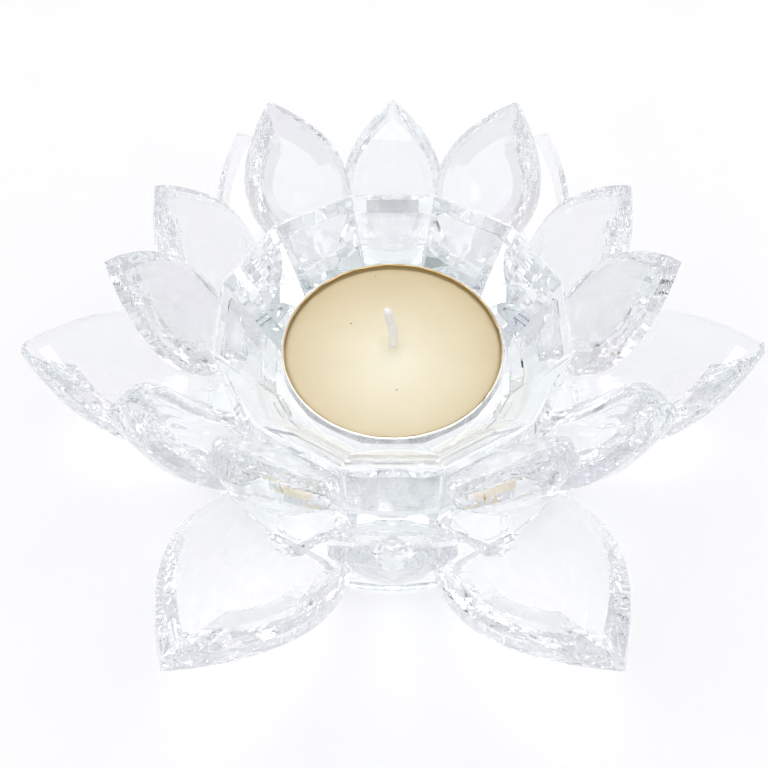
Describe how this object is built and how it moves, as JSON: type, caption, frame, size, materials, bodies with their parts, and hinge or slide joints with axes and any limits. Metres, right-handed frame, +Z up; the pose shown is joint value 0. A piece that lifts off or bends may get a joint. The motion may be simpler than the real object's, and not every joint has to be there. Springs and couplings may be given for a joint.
{
  "type": "tealight holder",
  "caption": "Lotus-shaped cut-glass tealight holder: faceted cup with a round well, ringed by glued petals on a flat round base, with a lift-out tealight.",
  "frame": {"origin": "centre of the base plate's underside", "axes": "+Z up along the cup's axis; +X through the middle of a lower petal"},
  "size_m": [0.131, 0.1134, 0.0447],
  "materials": {
    "plate_glass": "polished clear",
    "cup_glass": "polished clear, cut facets",
    "lower_petal_glass": "polished clear, cut facets",
    "middle_petal_glass": "polished clear, cut facets",
    "upper_petal_glass": "polished clear, cut facets",
    "pressed_aluminium": "thin pressed sheet, satin",
    "cream_wax": "smooth cream wax, slightly waxy sheen",
    "cotton_wick": "braided cotton, unburnt",
    "tinplate": "bright thin sheet"
  },
  "bodies": {
    "holder": {"base_plate": "plate_glass", "cup_block": "cup_glass", "lower_petal_1": "lower_petal_glass", "lower_petal_2": "lower_petal_glass", "lower_petal_3": "lower_petal_glass", "lower_petal_4": "lower_petal_glass", "lower_petal_5": "lower_petal_glass", "lower_petal_6": "lower_petal_glass", "middle_petal_1": "middle_petal_glass", "middle_petal_2": "middle_petal_glass", "middle_petal_3": "middle_petal_glass", "middle_petal_4": "middle_petal_glass", "middle_petal_5": "middle_petal_glass", "middle_petal_6": "middle_petal_glass", "upper_petal_1": "upper_petal_glass", "upper_petal_2": "upper_petal_glass", "upper_petal_3": "upper_petal_glass", "upper_petal_4": "upper_petal_glass", "upper_petal_5": "upper_petal_glass", "upper_petal_6": "upper_petal_glass"},
    "tealight": {"tealight_cup": "pressed_aluminium", "wax": "cream_wax", "wick": "cotton_wick", "wick_tab": "tinplate"}
  },
  "joints": [
    {"name": "tealight_lift", "type": "slide", "parent": "holder", "child": "tealight", "axis": [0, 0, 1], "range_m": [0, 0.045]}
  ]
}
